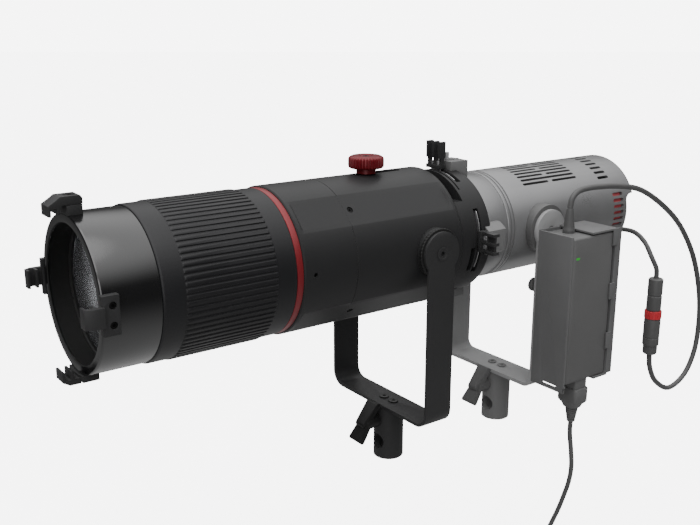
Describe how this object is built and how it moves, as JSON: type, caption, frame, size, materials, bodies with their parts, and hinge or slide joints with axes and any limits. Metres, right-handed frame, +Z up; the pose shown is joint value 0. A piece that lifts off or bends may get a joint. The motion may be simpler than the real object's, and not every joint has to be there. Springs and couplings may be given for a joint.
{
  "type": "ellipsoidal spotlight",
  "caption": "Zoom ellipsoidal spotlight with framing shutters on a tilting yoke, coupled to a lamp head with its own yoke, adapter and leads.",
  "frame": {"origin": "The centre of the mouth of the front receiver's upright bore.", "axes": "+Z is up along the bore; the beam leaves along -Y; +X is the side the adapter hangs on. The optical axis is parallel to Y at z = 0.225 m."},
  "size_m": [0.1956, 0.7249, 0.593],
  "materials": {
    "black_anodised": "satin black anodised aluminium",
    "black_gloss": "semi-gloss black anodised aluminium, finely turned",
    "zoom_black": "satin black, ribbed",
    "yoke_black": "fine-textured black paint",
    "red_ring": "red anodised",
    "knob_red": "red anodised, fluted",
    "black_plastic": "matte black plastic",
    "blade_steel": "bare stainless steel",
    "screw_steel": "dark steel",
    "lens_glass": "coated optical glass",
    "lamp_grey": "satin grey paint",
    "lamp_dark_grey": "satin mid-grey paint",
    "lyoke_grey": "satin mid-grey paint",
    "grey_plastic": "matte mid-grey plastic",
    "adapter_grey": "matte mid-grey plastic",
    "cord_grey": "matte grey PVC",
    "connector_grey": "matte grey plastic with a red collar",
    "sink_black": "black anodised fins",
    "led_yellow": "yellow phosphor on a white board"
  },
  "bodies": {
    "stand": {"front_yoke": "yoke_black", "receiver": "yoke_black", "receiver_screws": "screw_steel", "tilt_bolts": "black_anodised", "friction_discs": "black_plastic"},
    "clamp": {"clamp_lever": "black_plastic", "clamp_stud": "screw_steel"},
    "barrel": {"front_tube": "black_gloss", "lens_retainer": "black_anodised", "front_lens": "lens_glass", "frame_clips": "yoke_black", "clip_screws": "screw_steel", "red_ring": "red_ring", "front_housing": "black_anodised", "main_housing": "black_anodised", "housing_screws": "screw_steel", "tilt_bosses": "black_anodised", "shutter_housing": "black_anodised", "lamp_front_ring": "lamp_grey", "condenser_lens": "lens_glass", "lamp_clips": "lamp_dark_grey", "lamp_shell": "lamp_grey", "led_board": "led_yellow", "heat_sink": "sink_black", "rear_panel": "grey_plastic", "lamp_bosses": "lamp_dark_grey"},
    "latch": {"top_latch": "yoke_black"},
    "zoom": {"zoom_ring": "zoom_black"},
    "zoom_optic": {"zoom_carriage": "black_anodised", "zoom_lens": "lens_glass"},
    "focus": {"focus_carriage": "black_anodised", "focus_lens": "lens_glass"},
    "knob": {"focus_knob": "knob_red"},
    "shutter_top": {"top_blade": "blade_steel", "top_handle": "black_plastic"},
    "shutter_bottom": {"bottom_blade": "blade_steel", "bottom_handle": "black_plastic"},
    "shutter_near": {"near_blade": "blade_steel", "near_handle": "black_plastic"},
    "shutter_far": {"far_blade": "blade_steel", "far_handle": "black_plastic"},
    "release_pin": {"latch_pin": "screw_steel"},
    "fan": {"fan_rotor": "black_plastic"},
    "dial": {"control_dial": "grey_plastic"},
    "lamp_stand": {"lamp_yoke": "lyoke_grey", "lamp_bolts": "lyoke_grey", "lamp_receiver": "lamp_dark_grey", "lamp_receiver_screws": "screw_steel", "adapter_bracket": "lyoke_grey", "power_adapter": "adapter_grey", "dc_lead": "cord_grey", "dc_connector": "connector_grey", "dc_tail": "cord_grey", "ac_plug": "adapter_grey", "ac_cord": "cord_grey", "ac_coil": "cord_grey", "ac_tail": "cord_grey", "mains_plug": "adapter_grey"},
    "lamp_clamp": {"lamp_clamp_lever": "grey_plastic"},
    "thumb_screw": {"bracket_knob": "grey_plastic"}
  },
  "joints": [
    {"name": "barrel_tilt", "type": "hinge", "parent": "stand", "child": "barrel", "pos_m": [0, 0, 0.225], "axis": [1, 0, 0], "range_deg": [-15, 45]},
    {"name": "clamp_turn", "type": "hinge", "parent": "stand", "child": "clamp", "pos_m": [0, -0.02, 0.0415], "axis": [0, 1, 0], "range_deg": [-180, 180]},
    {"name": "zoom_turn", "type": "hinge", "parent": "barrel", "child": "zoom", "pos_m": [0, -0.2, 0.225], "axis": [0, 1, 0], "range_deg": [0, 70]},
    {"name": "zoom_lens_slide", "type": "slide", "parent": "barrel", "child": "zoom_optic", "axis": [0, 1, 0], "range_m": [0, 0.03]},
    {"name": "focus_slide", "type": "slide", "parent": "barrel", "child": "focus", "axis": [0, 1, 0], "range_m": [-0.01, 0.035]},
    {"name": "focus_lock", "type": "hinge", "parent": "focus", "child": "knob", "pos_m": [0, -0.03, 0.3], "axis": [0, 0, 1], "range_deg": [0, 120]},
    {"name": "top_shutter", "type": "slide", "parent": "barrel", "child": "shutter_top", "axis": [0, 0, 1], "range_m": [0, 0.03]},
    {"name": "bottom_shutter", "type": "slide", "parent": "barrel", "child": "shutter_bottom", "axis": [0, 0, -1], "range_m": [0, 0.03]},
    {"name": "near_shutter", "type": "slide", "parent": "barrel", "child": "shutter_near", "axis": [1, 0, 0], "range_m": [0, 0.03]},
    {"name": "far_shutter", "type": "slide", "parent": "barrel", "child": "shutter_far", "axis": [-1, 0, 0], "range_m": [0, 0.03]},
    {"name": "frame_latch", "type": "hinge", "parent": "barrel", "child": "latch", "pos_m": [0, -0.306, 0.298], "axis": [0, 0, 1], "range_deg": [-25, 25]},
    {"name": "release_pin_lift", "type": "slide", "parent": "barrel", "child": "release_pin", "axis": [0, 0, 1], "range_m": [0, 0.006]},
    {"name": "fan_spin", "type": "hinge", "parent": "barrel", "child": "fan", "pos_m": [0, 0.2475, 0.225], "axis": [0, 1, 0], "continuous": true},
    {"name": "dial_turn", "type": "hinge", "parent": "barrel", "child": "dial", "pos_m": [0, 0.285, 0.221], "axis": [0, 1, 0], "continuous": true},
    {"name": "lamp_yoke_tilt", "type": "hinge", "parent": "barrel", "child": "lamp_stand", "pos_m": [0, 0.1515, 0.225], "axis": [1, 0, 0], "range_deg": [-5, 30], "deforming": ["dc_tail"]},
    {"name": "lamp_clamp_turn", "type": "hinge", "parent": "lamp_stand", "child": "lamp_clamp", "pos_m": [0, 0.1315, 0.0431], "axis": [0, 1, 0], "range_deg": [-180, 180]},
    {"name": "bracket_screw_turn", "type": "hinge", "parent": "lamp_stand", "child": "thumb_screw", "pos_m": [0.055, 0.1435, 0.167], "axis": [1, 0, 0], "range_deg": [-180, 180]}
  ],
  "couplings": [
    {"joint": "zoom_lens_slide", "follows": "zoom_turn", "m_per_rad": 0.02455}
  ]
}
